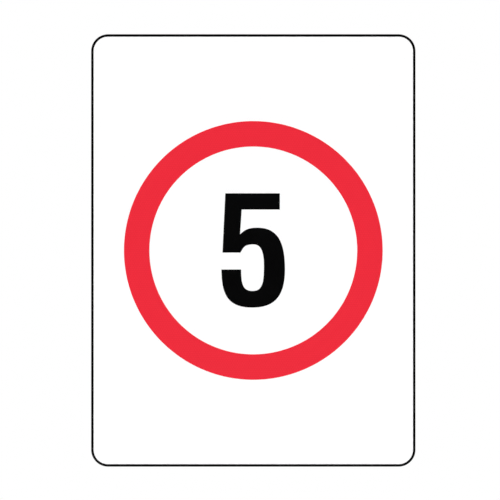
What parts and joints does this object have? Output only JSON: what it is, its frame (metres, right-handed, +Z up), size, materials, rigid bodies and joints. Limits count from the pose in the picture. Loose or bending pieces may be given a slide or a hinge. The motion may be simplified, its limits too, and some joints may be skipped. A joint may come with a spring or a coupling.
{
  "type": "speed limit sign panel",
  "caption": "Rectangular sign panel with a red ring and a numeral, on two slotted rear rails with clamps for a round post.",
  "frame": {"origin": "on the post's axis, half way between the two clamps, level with the middle of the sign face", "axes": "+Z up along the post, -Y out of the sign face towards the driver, +X to the driver's right"},
  "size_m": [0.45, 0.0882, 0.6],
  "materials": {
    "blade_aluminium": "mill finish rolled sheet",
    "reflective_white": "retroreflective sheeting, smooth clear top",
    "red_film": "transparent red film over the sheeting",
    "black_film": "opaque black film, satin",
    "label_film": "blank printed film",
    "rail_aluminium": "extruded, drawn lines along its length",
    "foam_tape": "closed-cell bonding tape",
    "cap_plastic": "moulded, fine grain",
    "saddle_aluminium": "extruded and sawn to length",
    "galvanised_steel": "hot-dip galvanised with spangle",
    "stainless_steel": "rolled and turned stainless fasteners"
  },
  "bodies": {
    "sign": {"blade": "blade_aluminium", "white_sheeting": "reflective_white", "red_ring": "red_film", "numeral_five": "black_film", "border_line": "black_film", "rear_label": "label_film", "upper_rail": "rail_aluminium", "lower_rail": "rail_aluminium", "upper_rail_tape": "foam_tape", "lower_rail_tape": "foam_tape", "upper_left_end_cap": "cap_plastic", "upper_right_end_cap": "cap_plastic", "lower_left_end_cap": "cap_plastic", "lower_right_end_cap": "cap_plastic"},
    "upper_clamp": {"upper_saddle": "saddle_aluminium", "upper_left_bolt": "stainless_steel", "upper_right_bolt": "stainless_steel"},
    "lower_clamp": {"lower_saddle": "saddle_aluminium", "lower_left_bolt": "stainless_steel", "lower_right_bolt": "stainless_steel"},
    "upper_strap_set": {"upper_strap": "galvanised_steel", "upper_left_washer": "stainless_steel", "upper_right_washer": "stainless_steel", "upper_left_spring_washer": "stainless_steel", "upper_right_spring_washer": "stainless_steel"},
    "lower_strap_set": {"lower_strap": "galvanised_steel", "lower_left_washer": "stainless_steel", "lower_right_washer": "stainless_steel", "lower_left_spring_washer": "stainless_steel", "lower_right_spring_washer": "stainless_steel"},
    "upper_left_nut": {"upper_left_nut": "stainless_steel"},
    "upper_right_nut": {"upper_right_nut": "stainless_steel"},
    "lower_left_nut": {"lower_left_nut": "stainless_steel"},
    "lower_right_nut": {"lower_right_nut": "stainless_steel"}
  },
  "joints": [
    {"name": "upper_clamp_slide", "type": "slide", "parent": "sign", "child": "upper_clamp", "axis": [1, 0, 0], "range_m": [-0.14, 0.14]},
    {"name": "lower_clamp_slide", "type": "slide", "parent": "sign", "child": "lower_clamp", "axis": [1, 0, 0], "range_m": [-0.14, 0.14]},
    {"name": "upper_strap_draw", "type": "slide", "parent": "upper_clamp", "child": "upper_strap_set", "axis": [0, 1, 0], "range_m": [0, 0.0125]},
    {"name": "lower_strap_draw", "type": "slide", "parent": "lower_clamp", "child": "lower_strap_set", "axis": [0, 1, 0], "range_m": [0, 0.0125]},
    {"name": "upper_left_nut_turn", "type": "hinge", "parent": "upper_strap_set", "child": "upper_left_nut", "pos_m": [-0.045, 0, 0.18], "axis": [0, 1, 0], "range_deg": [0, 3600]},
    {"name": "upper_right_nut_turn", "type": "hinge", "parent": "upper_strap_set", "child": "upper_right_nut", "pos_m": [0.045, 0, 0.18], "axis": [0, 1, 0], "range_deg": [0, 3600]},
    {"name": "lower_left_nut_turn", "type": "hinge", "parent": "lower_strap_set", "child": "lower_left_nut", "pos_m": [-0.045, 0, -0.18], "axis": [0, 1, 0], "range_deg": [0, 3600]},
    {"name": "lower_right_nut_turn", "type": "hinge", "parent": "lower_strap_set", "child": "lower_right_nut", "pos_m": [0.045, 0, -0.18], "axis": [0, 1, 0], "range_deg": [0, 3600]}
  ],
  "couplings": [
    {"joint": "upper_left_nut_turn", "follows": "upper_strap_draw", "rad_per_m": 5026.5},
    {"joint": "upper_right_nut_turn", "follows": "upper_strap_draw", "rad_per_m": 5026.5},
    {"joint": "lower_left_nut_turn", "follows": "lower_strap_draw", "rad_per_m": 5026.5},
    {"joint": "lower_right_nut_turn", "follows": "lower_strap_draw", "rad_per_m": 5026.5}
  ]
}
